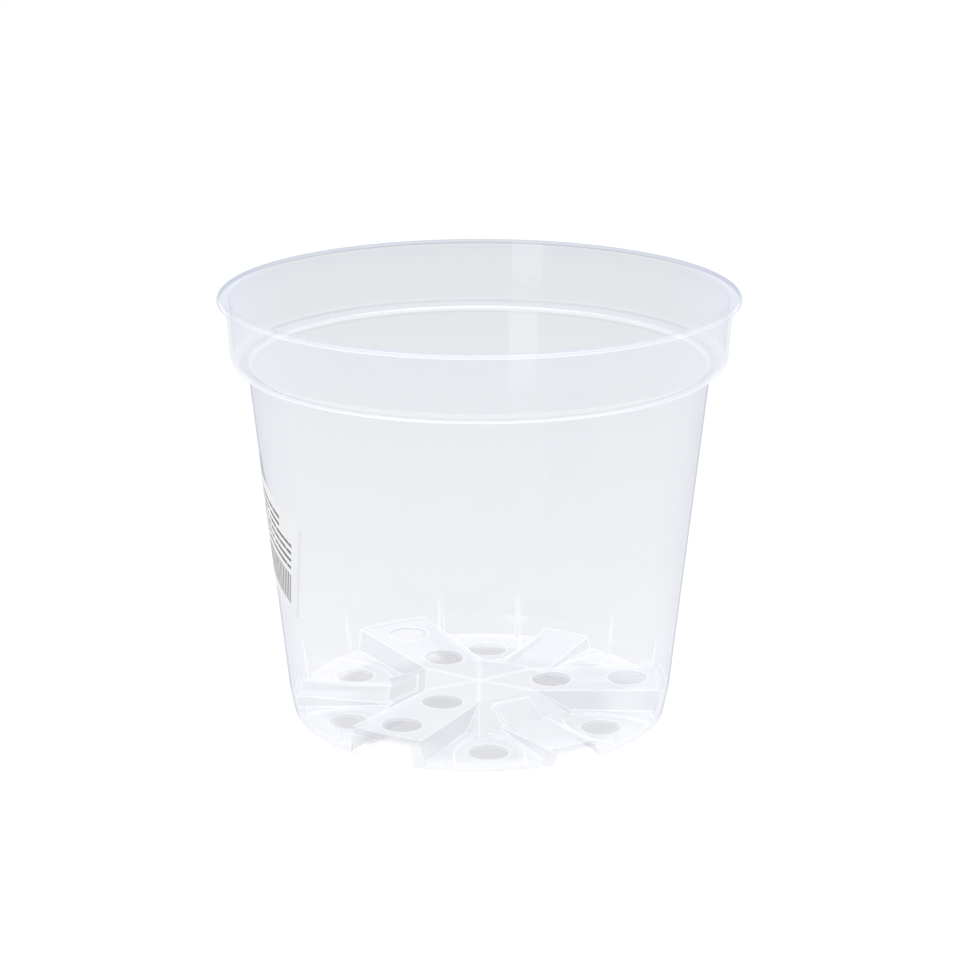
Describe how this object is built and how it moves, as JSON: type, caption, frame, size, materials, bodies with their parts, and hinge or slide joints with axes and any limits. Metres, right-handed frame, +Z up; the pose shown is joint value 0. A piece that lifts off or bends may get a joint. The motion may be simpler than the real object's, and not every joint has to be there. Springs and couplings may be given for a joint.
{
  "type": "orchid pot",
  "caption": "Clear plastic orchid pot with out-turned lip, deep collar, tapered wall and a raised star-shaped base with drain holes and slots between its feet; plain paper label on its side.",
  "frame": {"origin": "On the ground at the pot's axis, level with the undersides of its feet.", "axes": "+Z up along the axis to the rim; +X along one high channel of the base; the picture looks along +Y from the front."},
  "size_m": [0.15, 0.15, 0.125],
  "materials": {
    "clear_plastic": "clear, glossy, moulded",
    "label_paper": "matt white paper"
  },
  "bodies": {
    "root": {"pot": "clear_plastic", "price_label": "label_paper"}
  },
  "joints": []
}
